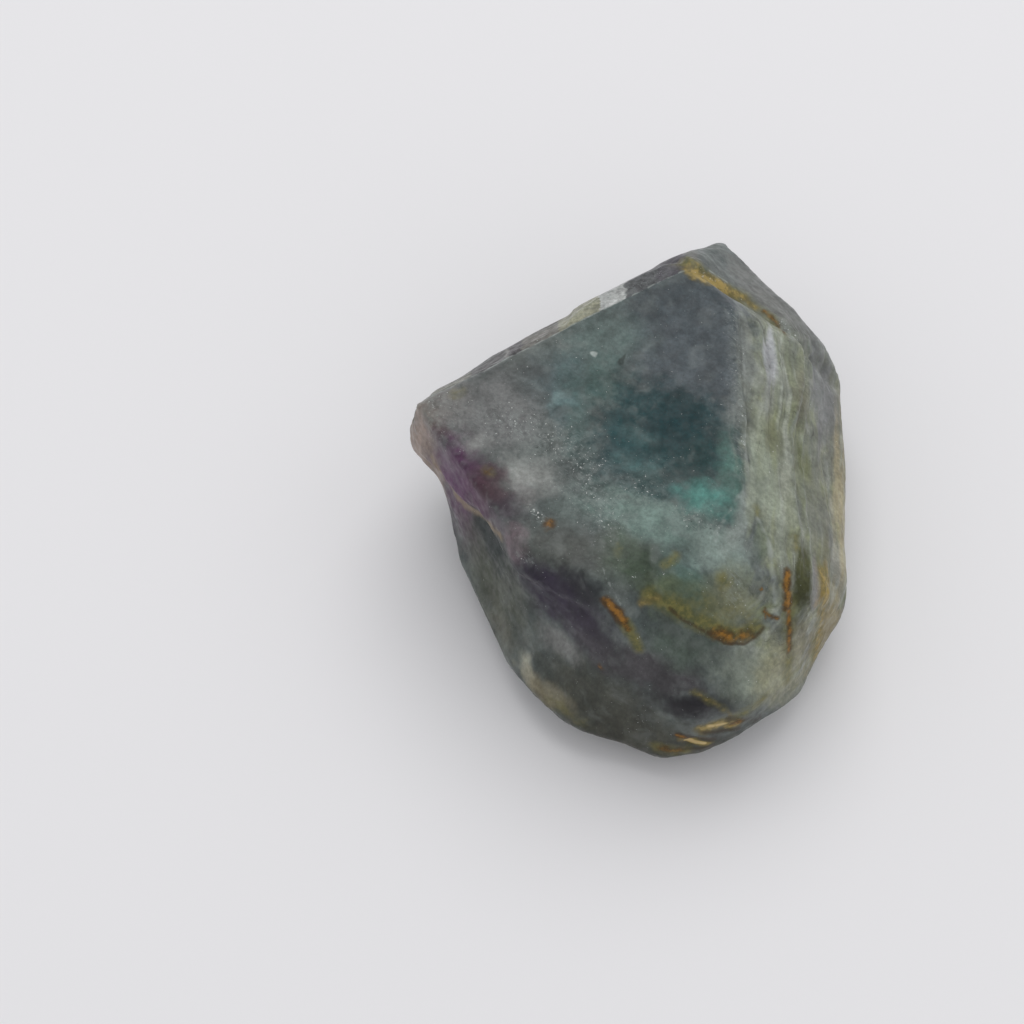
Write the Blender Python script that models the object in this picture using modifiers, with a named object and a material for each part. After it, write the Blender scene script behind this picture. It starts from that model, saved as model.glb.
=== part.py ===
"""A rough fluorite crystal as one solid: an octahedral cleavage fragment, about 39 x 48 x 23 mm.

A broad, nearly level cleavage face lies on top, a steep one behind it to the left and two more at the front left.
The right side is a splintery fracture that runs from front to back, a lower block stands behind a seam at the
back right, and the front is worn round. The block is cleaved by planes, then worn, then given its ledges,
splinters, seam, lobe and pits, and cut flat where it rests.

Units here are millimetres until the mesh is finished. +X is right, +Y is back, +Z is up.
"""
import math
import random

import bmesh
import bpy
import numpy as np
from mathutils import Vector, noise
from mathutils.kdtree import KDTree

MM = 0.001
NODE = "fluorite_crystal"

# The block of crystal that the fragment is cleaved from.
BLOCK_CENTRE = Vector((0.0, 0.0, 12.0))
BLOCK_SIDES = (60.0, 70.0, 50.0)

# Each face: the way its outside looks (degrees, anticlockwise from +X), its slope from level, and a point on it.
MAIN_FACE = (176, 6, (6.5, 14.8, 22.0))
FACES = {
    "main cleavage": MAIN_FACE,
    "back left cleavage": (120, 66, (-15.8, 5.9, 19.6)),
    "back left side": (122, 106, (-5.7, 15.2, 11.5)),
    "left tip, back": (150, 82, (-18.1, 7.0, 14.0)),
    "left tip": (186, 90, (-19.4, 4.4, 12.0)),
    "left tip undercut": (175, 125, (-18.8, 4.5, 10.0)),
    "left side": (204, 90, (-19.4, 3.4, 11.0)),
    "left undercut": (205, 118, (-12.0, -12.0, 3.5)),
    "front left, back": (212, 80, (-9.6, -11.6, 18.5)),
    "front left": (234, 70, (-5.5, -14.2, 18.5)),
    "front": (252, 71, (6.2, -22.0, 12.0)),
    "front left undercut": (220, 120, (-8.5, -17.5, 3.5)),
    "front undercut": (245, 120, (-2.3, -22.1, 3.3)),
    "front foot": (281, 80, (8.0, -23.0, 5.0)),
    "front right undercut": (285, 120, (8.0, -23.4, 4.0)),
    "front slope, upper": (290, 25, (3.5, -12.0, 21.2)),
    "front slope, lower": (290, 45, (6.2, -22.0, 12.0)),
    "right fracture, upper": (358, 38, (9.8, 5.0, 22.2)),
    "right fracture, lower": (0, 59, (15.1, 0.0, 17.5)),
    "front right corner": (306, 84, (12.1, -20.9, 5.5)),
    "front right corner undercut": (306, 118, (12.1, -20.9, 4.5)),
    "right front": (321, 78, (15.9, -16.8, 6.0)),
    "right front, upper": (342, 80, (18.8, -13.2, 7.0)),
    "right side": (0, 91, (19.7, 0.0, 8.0)),
    "right undercut": (335, 116, (17.5, -15.0, 5.0)),
    "back right cleavage": (40, 52, (14.9, 11.6, 17.1)),
    "right back": (22, 92, (19.3, 12.4, 11.0)),
    "back right side": (44, 94, (13.4, 20.1, 11.0)),
    "back right shoulder": (40, 93, (15.8, 15.4, 11.0)),
    "back tip": (80, 80, (8.7, 24.1, 11.0)),
    "back undercut": (80, 118, (8.7, 23.4, 8.0)),
}
# It is cut a little low first, and to its flat rest after the triangles are thinned out.
FIRST_CUT_HEIGHT = -0.5
REST_HEIGHT = 0.0

# The body is rebuilt as an even skin before it is worn and given its relief.
SKIN_SPACING = 0.36
WEAR_PASSES = 16
WEAR_STRENGTH = 0.5
NORMAL_PASSES = 8
RELIEF_WEAR_PASSES = 4
MOST_TRIANGLES = 9300

# Broad lumps and shallow shell-shaped scoops, weaker on the main cleavage face.
LUMP_SIZE = 9.0
LUMP_HEIGHT = 0.5
SCOOP_SEED = 7
SCOOP_COUNT = 420
SCOOP_SIZE = 7.0
SCOOP_WANDER = 2.0
SCOOP_DEPTH = 0.6
WANDER_OFFSETS = (Vector((11.3, 0.0, 0.0)), Vector((0.0, 17.9, 0.0)), Vector((0.0, 0.0, 23.7)))
MAIN_FACE_SHARE = 0.2

# The right fracture: where each splinter begins (X), how far it stands up, and how much its edge wanders.
SPLINTER_STARTS = (9.4, 10.6, 12.6, 13.5, 15.4, 16.4, 18.2, 20.5)
SPLINTER_RISE = 0.75
SPLINTER_CREST = 0.72
SPLINTER_WANDER = 1.6
SPLINTER_LENGTH = 11.0
FRACTURE_EDGE = 9.0

# The lobe on the front slope: a plate with a round front edge.
LOBE_CENTRE = (7.6, -12.2)
LOBE_RADIUS = 6.3
LOBE_RISE = 0.7
LOBE_BACK = -9.5
LOBE_FRONT = -14.5

# The seam between the top and the block at the back right, seen from above.
SEAM = ((4.0, 17.4), (5.6, 15.8), (7.9, 15.0), (11.1, 14.2), (14.7, 11.4), (19.2, 9.6), (21.0, 8.4))
SEAM_HALF_WIDTH = 0.8
SEAM_DEPTH = 0.55

# The edge of the upper slab at the left (Z by X), and how far the side is set back under it (by Y).
LIP = ((-19.5, 12.3), (-18.1, 13.3), (-16.7, 14.6), (-13.6, 16.3), (-9.6, 17.8), (-5.0, 18.6))
RECESS = ((-19.0, 0.0), (-14.4, 0.4), (-9.4, 0.8), (-4.4, 0.85), (0.6, 1.2), (5.0, 1.6))
LIP_LOOKS = (210, 86)
RECESS_TOP = 0.4
RECESS_FOOT = (2.0, 8.0)
# The recess dies out towards the left tip, which is measured along this direction.
TIP_LOOKS = (122, 90)
TIP_BEGINS = 9.5

# Terraces on the back left cleavage: each starts at an X and stands out by so much.
TERRACES = ((-30.0, -0.6), (-15.2, -0.55), (-4.6, -0.15), (3.4, 0.0), (6.6, -0.3))
TERRACE_LOOKS = (120, 66)
TERRACE_EDGE = 0.45

# Pits by the front foot: centre, half sizes along X, Y and Z.
PITS = (((6.2, -24.2, 5.6), (1.7, 1.5, 0.75)), ((8.8, -23.6, 7.4), (1.6, 1.4, 0.7)))
PIT_DEPTH = 1.1

COLOUR = (0.15, 0.19, 0.17, 1.0)
ROUGHNESS = 0.35
METALLIC = 0.0


def facing(azimuth, slope):
    """The outward direction of a face."""
    a = math.radians(azimuth)
    s = math.radians(slope)
    return Vector((math.cos(a) * math.sin(s), math.sin(a) * math.sin(s), math.cos(s)))


def ramp(value, low, high):
    """A smooth rise from 0 at low to 1 at high."""
    t = min(max((value - low) / (high - low), 0.0), 1.0)
    return t * t * (3.0 - 2.0 * t)


def along(table, value):
    """Straight-line reading of a table of pairs."""
    return float(np.interp(value, [a for a, _ in table], [b for _, b in table]))


def uncut_block():
    """The block before it is cleaved."""
    bm = bmesh.new()
    bmesh.ops.create_cube(bm, size=1.0)
    bmesh.ops.scale(bm, vec=BLOCK_SIDES, verts=bm.verts)
    bmesh.ops.translate(bm, vec=BLOCK_CENTRE, verts=bm.verts)
    return bm


def cleave(bm, point, normal):
    """Takes away everything outside the plane and closes the cut."""
    every = bm.verts[:] + bm.edges[:] + bm.faces[:]
    cut = bmesh.ops.bisect_plane(bm, geom=every, plane_co=point, plane_no=normal, clear_outer=True)
    rim = [e for e in cut["geom_cut"] if isinstance(e, bmesh.types.BMEdge)]
    if rim:
        bmesh.ops.holes_fill(bm, edges=rim, sides=0)


def lumps(p, n, quiet):
    """Broad unevenness of every face."""
    return LUMP_HEIGHT * noise.noise(p / LUMP_SIZE) * quiet


def scoop_centres():
    """Scattered middles of the scoops, all through the block."""
    dice = random.Random(SCOOP_SEED)
    tree = KDTree(SCOOP_COUNT)
    for i in range(SCOOP_COUNT):
        place = [BLOCK_CENTRE[axis] + BLOCK_SIDES[axis] * (dice.random() - 0.5) for axis in range(3)]
        tree.insert(place, i)
    tree.balance()
    return tree


SCOOPS = scoop_centres()


def scoops(p, n, quiet):
    """Shallow hollows that meet in soft ridges."""
    q = p / SCOOP_SIZE
    shift = Vector([noise.noise(q + offset) for offset in WANDER_OFFSETS])
    warped = p + SCOOP_WANDER * shift
    away = min(SCOOPS.find(warped)[2] / SCOOP_SIZE, 1.0)
    return SCOOP_DEPTH * (away ** 2 - 0.4) * quiet


def splinters(p, n, quiet):
    """Long stairs on the right fracture, each one flatter than the slope it stands on."""
    weight = ramp(n.x, 0.35, 0.55) * ramp(p.x, FRACTURE_EDGE, FRACTURE_EDGE + 1.0)
    weight *= (1.0 - ramp(n.y, 0.2, 0.4)) * ramp(n.y, -0.6, -0.35) * ramp(n.z, 0.0, 0.3)
    if weight == 0.0:
        return 0.0
    wander = noise.noise(Vector((p.x * 0.22, p.y / SPLINTER_LENGTH, 3.0)))
    reach = p.x + SPLINTER_WANDER * wander
    for start, end in zip(SPLINTER_STARTS, SPLINTER_STARTS[1:]):
        if start <= reach < end:
            share = (reach - start) / (end - start)
            stair = share / SPLINTER_CREST if share < SPLINTER_CREST else (1.0 - share) / (1.0 - SPLINTER_CREST)
            strength = 0.7 + 1.2 * noise.noise(Vector((start * 3.1, p.y / SPLINTER_LENGTH, 8.0)))
            return SPLINTER_RISE * strength * (stair - 0.5) * weight
    return 0.0


def lobe(p, n, quiet):
    """The plate on the front slope."""
    if n.z < 0.2 or p.y > LOBE_BACK:
        return 0.0
    away = math.hypot(p.x - LOBE_CENTRE[0], p.y - LOBE_CENTRE[1])
    edge = LOBE_RADIUS + 0.5 * noise.noise(p / 3.0)
    return LOBE_RISE * (1.0 - ramp(away, edge - 0.4, edge + 0.4)) * (1.0 - ramp(p.y, LOBE_FRONT, LOBE_BACK))


def seam(p, n, quiet):
    """The groove between the top and the back right block."""
    weight = ramp(n.z, 0.15, 0.5) * ramp(p.y, 6.0, 8.0)
    if weight == 0.0:
        return 0.0
    here = np.array(p[:2]) + 0.5 * noise.noise(p / 2.5)
    nearest = 99.0
    for a, b in zip(SEAM, SEAM[1:]):
        start = np.array(a)
        run = np.array(b) - start
        t = min(max(float(np.dot(here - start, run) / np.dot(run, run)), 0.0), 1.0)
        nearest = min(nearest, float(np.linalg.norm(here - start - t * run)))
    return -SEAM_DEPTH * weight * (1.0 - ramp(nearest, 0.0, SEAM_HALF_WIDTH))


def recess(p, n, quiet):
    """The side face set back under the edge of the upper slab."""
    weight = ramp(n.dot(facing(*LIP_LOOKS)), 0.45, 0.75)
    weight *= 1.0 - ramp(p.dot(facing(*TIP_LOOKS)), TIP_BEGINS, TIP_BEGINS + 3.5)
    below = along(LIP, p.x) - p.z + 0.8 * noise.noise(p / 3.0)
    weight *= ramp(p.z, *RECESS_FOOT)
    return -along(RECESS, p.y) * weight * ramp(below, RECESS_TOP, RECESS_TOP + 1.2)


def terraces(p, n, quiet):
    """Steps along the back left cleavage."""
    weight = ramp(n.dot(facing(*TERRACE_LOOKS)), 0.5, 0.75)
    reach = p.x + 0.12 * (p.z - 15.0) + 0.8 * noise.noise(p / 2.5)
    height = TERRACES[0][1]
    for (_, before), (start, rise) in zip(TERRACES, TERRACES[1:]):
        height += (rise - before) * ramp(reach, start - TERRACE_EDGE, start + TERRACE_EDGE)
    return height * weight


def pits(p, n, quiet):
    """Two small hollows by the front foot."""
    height = 0.0
    for centre, sizes in PITS:
        away = math.sqrt(sum(((p[i] - centre[i]) / sizes[i]) ** 2 for i in range(3)))
        height -= PIT_DEPTH * (1.0 - ramp(away, 0.3, 1.1))
    return height


RELIEF = (lumps, scoops, splinters, lobe, seam, recess, terraces, pits)


def soft_normals(mesh):
    """Vertex normals averaged with their neighbours, so that the relief runs smoothly over the edges."""
    normals = np.array([v.normal for v in mesh.vertices])
    ends = np.array([e.vertices[:] for e in mesh.edges])
    for _ in range(NORMAL_PASSES):
        total = normals.copy()
        np.add.at(total, ends[:, 0], normals[ends[:, 1]])
        np.add.at(total, ends[:, 1], normals[ends[:, 0]])
        normals = total / np.linalg.norm(total, axis=1, keepdims=True)
    return normals


def add_relief(mesh):
    """Moves every vertex along its normal by the sum of the relief."""
    main = facing(*MAIN_FACE[:2])
    moved = []
    for vertex, normal in zip(mesh.vertices, soft_normals(mesh)):
        p = vertex.co
        n = Vector(normal)
        quiet = 1.0 - (1.0 - MAIN_FACE_SHARE) * ramp(n.dot(main), 0.94, 0.99)
        height = sum(part(p, n, quiet) for part in RELIEF)
        moved.append(p + n * height)
    mesh.vertices.foreach_set("co", np.array(moved).ravel())
    mesh.update()


def trimmed(mesh, height):
    """Cuts the mesh level at a height and keeps what is above."""
    bm = bmesh.new()
    bm.from_mesh(mesh)
    cleave(bm, Vector((0.0, 0.0, height)), Vector((0.0, 0.0, -1.0)))
    bmesh.ops.remove_doubles(bm, verts=bm.verts, dist=0.0001)
    bmesh.ops.triangulate(bm, faces=bm.faces)
    bmesh.ops.recalc_face_normals(bm, faces=bm.faces)
    bm.to_mesh(mesh)
    bm.free()
    mesh.update()


def evaluated(obj):
    """The mesh of an object after its modifiers."""
    bpy.context.view_layer.update()
    graph = bpy.context.evaluated_depsgraph_get()
    mesh = bpy.data.meshes.new_from_object(obj.evaluated_get(graph))
    obj.modifiers.clear()
    return mesh


def plain_material():
    """One even colour for the whole crystal."""
    material = bpy.data.materials.new("fluorite")
    material.use_nodes = True
    shader = material.node_tree.nodes["Principled BSDF"]
    shader.inputs["Base Color"].default_value = COLOUR
    shader.inputs["Roughness"].default_value = ROUGHNESS
    shader.inputs["Metallic"].default_value = METALLIC
    return material


def main():
    for obj in list(bpy.data.objects):
        bpy.data.objects.remove(obj)
    collection = bpy.data.collections.new("fluorite crystal")
    bpy.context.scene.collection.children.link(collection)

    bm = uncut_block()
    for azimuth, slope, point in FACES.values():
        cleave(bm, Vector(point), facing(azimuth, slope))
    bmesh.ops.recalc_face_normals(bm, faces=bm.faces)
    mesh = bpy.data.meshes.new(NODE)
    bm.to_mesh(mesh)
    bm.free()
    crystal = bpy.data.objects.new(NODE, mesh)
    collection.objects.link(crystal)

    skin = crystal.modifiers.new("even skin", "REMESH")
    skin.mode = "VOXEL"
    skin.voxel_size = SKIN_SPACING
    wear = crystal.modifiers.new("wear", "SMOOTH")
    wear.factor = WEAR_STRENGTH
    wear.iterations = WEAR_PASSES
    crystal.data = evaluated(crystal)
    add_relief(crystal.data)
    again = crystal.modifiers.new("wear of the relief", "SMOOTH")
    again.factor = WEAR_STRENGTH
    again.iterations = RELIEF_WEAR_PASSES
    crystal.data = evaluated(crystal)
    trimmed(crystal.data, FIRST_CUT_HEIGHT)

    crystal.data.calc_loop_triangles()
    fewer = crystal.modifiers.new("fewer triangles", "DECIMATE")
    fewer.ratio = MOST_TRIANGLES / len(crystal.data.loop_triangles)
    fewer.use_collapse_triangulate = True
    crystal.data = evaluated(crystal)

    trimmed(crystal.data, REST_HEIGHT)

    mesh = crystal.data
    mesh.name = NODE
    places = np.array([v.co for v in mesh.vertices])
    middle = (places.min(axis=0) + places.max(axis=0)) / 2.0
    origin = np.array((middle[0], middle[1], places[:, 2].min()))
    mesh.vertices.foreach_set("co", ((places - origin) * MM).ravel())
    mesh.update()
    mesh.materials.append(plain_material())
    print("crystal:", len(mesh.polygons), "triangles, origin at", origin.round(3))


main()
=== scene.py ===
from math import radians

import bmesh
import bpy
import numpy as np
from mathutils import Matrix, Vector


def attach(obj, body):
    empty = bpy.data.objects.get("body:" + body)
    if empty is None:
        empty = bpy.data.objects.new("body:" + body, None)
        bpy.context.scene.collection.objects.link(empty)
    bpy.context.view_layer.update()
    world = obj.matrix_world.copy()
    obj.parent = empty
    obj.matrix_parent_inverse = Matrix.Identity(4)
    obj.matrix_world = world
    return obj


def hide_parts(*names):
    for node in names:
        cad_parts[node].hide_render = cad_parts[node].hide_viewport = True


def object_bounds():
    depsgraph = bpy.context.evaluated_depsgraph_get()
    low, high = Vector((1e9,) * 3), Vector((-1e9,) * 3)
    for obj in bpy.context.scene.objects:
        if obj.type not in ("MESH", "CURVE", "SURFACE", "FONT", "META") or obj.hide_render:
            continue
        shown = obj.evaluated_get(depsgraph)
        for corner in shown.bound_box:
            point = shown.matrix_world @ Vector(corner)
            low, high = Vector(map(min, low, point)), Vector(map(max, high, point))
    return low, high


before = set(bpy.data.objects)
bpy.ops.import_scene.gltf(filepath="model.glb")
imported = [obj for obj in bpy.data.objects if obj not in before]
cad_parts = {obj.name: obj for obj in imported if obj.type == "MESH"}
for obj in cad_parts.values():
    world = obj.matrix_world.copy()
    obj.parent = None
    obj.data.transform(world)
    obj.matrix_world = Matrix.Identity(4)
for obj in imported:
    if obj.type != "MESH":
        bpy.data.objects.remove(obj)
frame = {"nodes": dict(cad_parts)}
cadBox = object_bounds()
print("frame loaded:", ", ".join(frame["nodes"]))

mm = 0.001                                   # places and sizes below are in millimetres
crystalNode = "fluorite_crystal"

stage = {
    "floorSize": 900,
    "floorColour": (0.80, 0.795, 0.805),
    "floorRoughness": 0.9,
    "worldColour": (0.98, 0.98, 1.0),
    "worldStrength": 0.66,
    "keyPlace": (40, 420, 760),              # a broad soft window behind the crystal
    "keySize": 800,
    "keyPower": 3.1,
    "fillPlace": (420, 40, 520),             # a weaker one to its right
    "fillSize": 400,
    "fillPower": 0.15,
}
view = {
    "place": (-10.594, -143.154, 318.49),
    "tilt": 24.5,                            # degrees away from looking straight down
    "lens": 132.19,
    "sensor": 36,
    "nearest": 10,
}


def softLight(name, place, size, power):
    lamp = bpy.data.lights.new(name, "AREA")
    lamp.shape = "DISK"
    lamp.size = size * mm
    lamp.energy = power
    lampObject = bpy.data.objects.new(name, lamp)
    lampObject.location = Vector(place) * mm
    lampObject.rotation_euler = (-lampObject.location).to_track_quat("-Z", "Y").to_euler()
    bpy.context.collection.objects.link(lampObject)


def setTheStage():
    bpy.ops.mesh.primitive_plane_add(size=stage["floorSize"] * mm)
    floor = bpy.context.object
    floor.name = "floor"
    paper = bpy.data.materials.new("white_paper")
    paper.use_nodes = True
    shader = paper.node_tree.nodes["Principled BSDF"]
    shader.inputs["Base Color"].default_value = (*stage["floorColour"], 1)
    shader.inputs["Roughness"].default_value = stage["floorRoughness"]
    floor.data.materials.append(paper)

    world = bpy.data.worlds.new("studio")
    world.use_nodes = True
    sky = world.node_tree.nodes["Background"]
    sky.inputs["Color"].default_value = (*stage["worldColour"], 1)
    sky.inputs["Strength"].default_value = stage["worldStrength"]
    bpy.context.scene.world = world
    softLight("key", stage["keyPlace"], stage["keySize"], stage["keyPower"])
    softLight("fill", stage["fillPlace"], stage["fillSize"], stage["fillPower"])

    lens = bpy.data.cameras.new("camera")
    lens.lens = view["lens"]
    lens.sensor_width = view["sensor"]
    lens.clip_start = view["nearest"] * mm
    camera = bpy.data.objects.new("camera", lens)
    camera.location = Vector(view["place"]) * mm
    camera.rotation_euler = (radians(view["tilt"]), 0, 0)
    bpy.context.collection.objects.link(camera)
    bpy.context.scene.camera = camera
    bpy.context.scene.view_settings.view_transform = "Standard"
    print("stage set: floor, two soft lights and camera")


# Node helpers: addNode gives back its node, and the others give back an output, so that they nest.
def addNode(tree, kind, inputs=None, **settings):
    node = tree.nodes.new(kind)
    for name, value in settings.items():
        setattr(node, name, value)
    for name, value in (inputs or {}).items():
        if isinstance(value, bpy.types.NodeSocket):
            tree.links.new(value, node.inputs[name])
        else:
            node.inputs[name].default_value = value
    return node


def calc(tree, operation, first, second=0.0, clamp=False):
    return addNode(tree, "ShaderNodeMath", {0: first, 1: second}, operation=operation,
                   use_clamp=clamp).outputs[0]


def product(tree, first, *others):
    for other in others:
        first = calc(tree, "MULTIPLY", first, other)
    return first


def total(tree, first, second):
    return calc(tree, "ADD", first, second)


def less(tree, first, second):
    return calc(tree, "SUBTRACT", first, second)


def vectorCalc(tree, operation, first, second=(0, 0, 0)):
    node = addNode(tree, "ShaderNodeVectorMath", {0: first, 1: second}, operation=operation)
    return node.outputs["Value" if operation == "DOT_PRODUCT" else "Vector"]


def scaleVector(tree, vector, factor):
    return addNode(tree, "ShaderNodeVectorMath", {0: vector, "Scale": factor},
                   operation="SCALE").outputs["Vector"]


# a smooth step, which stays within its ends by itself: without a clamp the material stays small
def ramp(tree, value, low, high, start=0.0, end=1.0):
    inputs = {"Value": value, "From Min": low, "From Max": high, "To Min": start, "To Max": end}
    return addNode(tree, "ShaderNodeMapRange", inputs, interpolation_type="SMOOTHSTEP",
                   clamp=False).outputs["Result"]


def noise(tree, place, scale, detail=3.0, roughness=0.5, colour=False):
    node = addNode(tree, "ShaderNodeTexNoise", {"Vector": place, "Scale": scale, "Detail": detail,
                   "Roughness": roughness})
    return node.outputs["Color" if colour else "Fac"]


# a noise's swing either way of its middle, which is a half
def swing(tree, *reading):
    return less(tree, noise(tree, *reading), 0.5)


def cells(tree, place, scale, feature="F1", metric="EUCLIDEAN"):
    node = addNode(tree, "ShaderNodeTexVoronoi", {"Vector": place, "Scale": scale},
                   feature=feature, distance=metric)
    return node.outputs["Distance"]


# how far the skin stands proud of the blurred skin around it
def proud(tree, place, normal, rounds):
    blurred = addNode(tree, "GeometryNodeBlurAttribute", {"Value": place, "Iterations": rounds},
                      data_type="FLOAT_VECTOR").outputs[0]
    return vectorCalc(tree, "DOT_PRODUCT", vectorCalc(tree, "SUBTRACT", place, blurred), normal)


crystal = {
    "merge": 0.001,
    "skinSpacing": 0.17,
    "smoothFactor": 0.5,
    "smoothPasses": 8,
    "mostTriangles": 194000,
    "Splinter Height": 0.19,                 # long splinters of the right fracture
    "Splinter Width": 1.7,
    "Splinter Length": 11.0,
    "Shell Depth": 0.16,                     # shell-shaped hollows of the worn sides
    "Shell Size": 2.6,
    "Grain Height": 0.012,
    "Grain Size": 0.8,
    "Chip Depth": 1.0,                       # how much of an edge's crown has chipped away
    "Chip Size": 1.4,
    "Face Height": 0.02,                     # the main face keeps only a faint wave
    "bend": 1.6,                             # how far the splinters wander, in their own widths
    "plates": 9.0,                           # how many steps there are between the deepest and the highest
    "plateEdge": 0.22,                       # how much of a step its slope takes
    "plateMiddle": 0.62,                     # the step that stays where the skin is
    "plateGain": 2.2,
    "threadWidth": 0.05,
    "threadDepth": 0.25,
    "bowlMiddle": 0.55,
    "grainMiddle": 0.45,
    "chipped": (0.45, 0.62),                 # where on the edges chips begin, and are full
    "crownBlur": 24,                         # rounds of blur that show an edge's crown,
    "swellBlur": 8,                          # and a small swelling
}
# Where each kind of surface begins and where it is full: in mm, or as a part of the skin's normal.
regions = {
    "topFacing": (0.955, 0.985),
    "topHeight": (19.2, 20.0),
    "fractureX": 8.2,                        # the right fracture begins about here,
    "fractureWander": 2.0,                   # moved by up to this much,
    "fractureEdge": 1.2,                     # and is full so much further to the right
    "fractureFacing": (0.02, 0.3),
    "fractureFront": (-19.0, -13.0),
    "fractureBack": (17.0, 13.5),
    "footHeight": (0.15, 0.8),               # the rest under the crystal stays flat
}
# The narrow cleavage behind the main face.
strip = {
    "normal": (-0.2963, 0.4285, 0.8536),     # the strip is a plane: its normal,
    "height": 23.95,                         # and how far it lies from the origin
    "slope": 0.495,                          # its inner edge on the main face: Y for each mm of X,
    "start": 13.45,                          # and Y where X is 0
    "ends": (6.6, 5.8),                      # it ends between these places along X
    "barEdge": 0.12,
    "barMottle": (0.75, 1.25),
    "edgeLine": (0.16, 0.05),                # half width of the bright line along its inner edge,
    "edgeCover": 0.6,                        # and how much that line hides
    "face": (-0.1043, 0.0073, 0.9945),       # the main face's normal; that face lies at 21.34
    "fade": (14.5, 18.5),                    # the bars fade out between these heights under it
}


def reliefTree():
    tree = bpy.data.node_groups.new("cleavageRelief", "GeometryNodeTree")
    tree.interface.new_socket("Geometry", in_out="INPUT", socket_type="NodeSocketGeometry")
    for name, value in crystal.items():
        if name[0].isupper():
            socket = tree.interface.new_socket(name, in_out="INPUT", socket_type="NodeSocketFloat")
            socket.default_value = value
    for name, kind in (("Box Low", "Vector"), ("Box High", "Vector"), ("Material", "Material")):
        tree.interface.new_socket(name, in_out="INPUT", socket_type="NodeSocket" + kind)
    tree.interface.new_socket("Geometry", in_out="OUTPUT", socket_type="NodeSocketGeometry")
    given = tree.nodes.new("NodeGroupInput").outputs
    result = tree.nodes.new("NodeGroupOutput")

    position = tree.nodes.new("GeometryNodeInputPosition").outputs[0]
    normal = tree.nodes.new("GeometryNodeInputNormal").outputs[0]
    place = scaleVector(tree, position, 1 / mm)
    x, y, z = addNode(tree, "ShaderNodeSeparateXYZ", {0: place}).outputs
    facing = addNode(tree, "ShaderNodeSeparateXYZ", {0: normal}).outputs
    crown = proud(tree, place, normal, crystal["crownBlur"])

    # where each kind of surface lies
    top = product(tree, ramp(tree, facing["Z"], *regions["topFacing"]), ramp(tree, z, *regions["topHeight"]))
    start = total(tree, regions["fractureX"], product(tree, noise(tree, place, 0.12, 2),
                  regions["fractureWander"]))
    fracture = product(tree, ramp(tree, x, start, total(tree, start, regions["fractureEdge"])),
                       ramp(tree, facing["X"], *regions["fractureFacing"]),
                       ramp(tree, y, *regions["fractureFront"]), ramp(tree, y, *regions["fractureBack"]))
    foot = ramp(tree, z, *regions["footHeight"])
    side = calc(tree, "SUBTRACT", 1.0, calc(tree, "MAXIMUM", top, fracture), clamp=True)

    # splinters: steps and threads drawn out along Y
    drawn = addNode(tree, "ShaderNodeCombineXYZ", {
        "X": calc(tree, "DIVIDE", x, given["Splinter Width"]),
        "Y": calc(tree, "DIVIDE", y, given["Splinter Length"]),
        "Z": calc(tree, "DIVIDE", z, given["Splinter Width"])}).outputs[0]
    bend = scaleVector(tree, noise(tree, place, 0.14, 2, colour=True), crystal["bend"])
    drawn = vectorCalc(tree, "ADD", drawn, bend)
    plates = product(tree, noise(tree, drawn, 0.42, 1.5), crystal["plates"])
    edge = ramp(tree, calc(tree, "FRACT", plates), 0.0, crystal["plateEdge"])
    plates = calc(tree, "DIVIDE", total(tree, calc(tree, "FLOOR", plates), edge), crystal["plates"])
    threads = calc(tree, "ABSOLUTE", swing(tree, drawn, 1.4, 3.0))
    threads = product(tree, ramp(tree, threads, crystal["threadWidth"], 0.0), crystal["threadDepth"])
    plates = product(tree, less(tree, plates, crystal["plateMiddle"]), crystal["plateGain"])
    splinters = less(tree, plates, threads)
    splinters = product(tree, splinters, given["Splinter Height"], fracture)

    # shells: shallow bowls that meet in low ridges, and the sugary grain on them
    shellPlace = vectorCalc(tree, "ADD", place, noise(tree, place, 0.35, 1, colour=True))
    bowl = cells(tree, shellPlace, calc(tree, "DIVIDE", 1.0, given["Shell Size"]), feature="SMOOTH_F1")
    patch = ramp(tree, noise(tree, place, 0.16, 2), 0.42, 0.58)
    shells = product(tree, less(tree, bowl, crystal["bowlMiddle"]), given["Shell Depth"], patch, side)
    fineness = calc(tree, "DIVIDE", 1.0, given["Grain Size"])
    grain = less(tree, cells(tree, place, fineness, metric="CHEBYCHEV"), crystal["grainMiddle"])
    grain = total(tree, grain, swing(tree, place, product(tree, fineness, 0.9), 3))
    grain = product(tree, grain, given["Grain Height"], total(tree, product(tree, side, 0.8), 0.12))
    wave = product(tree, swing(tree, place, 0.5, 4), given["Face Height"])

    # chips along the edges
    chipped = noise(tree, place, calc(tree, "DIVIDE", 1.0, given["Chip Size"]), 2)
    chips = product(tree, calc(tree, "MAXIMUM", crown, 0.0), ramp(tree, chipped, *crystal["chipped"]),
                    given["Chip Depth"])

    height = total(tree, total(tree, splinters, shells), total(tree, grain, wave))
    height = product(tree, less(tree, height, chips), foot)
    moved = vectorCalc(tree, "ADD", position, scaleVector(tree, normal, product(tree, height, mm)))
    # the narrow cleavage behind the main face cuts its far edge off flat
    over = less(tree, vectorCalc(tree, "DOT_PRODUCT", moved, strip["normal"]), strip["height"] * mm)
    cut = scaleVector(tree, strip["normal"], calc(tree, "MAXIMUM", over, 0.0))
    moved = vectorCalc(tree, "SUBTRACT", moved, cut)
    moved = vectorCalc(tree, "MAXIMUM", moved, given["Box Low"])
    moved = vectorCalc(tree, "MINIMUM", moved, given["Box High"])
    shaped = addNode(tree, "GeometryNodeSetPosition", {"Geometry": given["Geometry"], "Position": moved})

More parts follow.
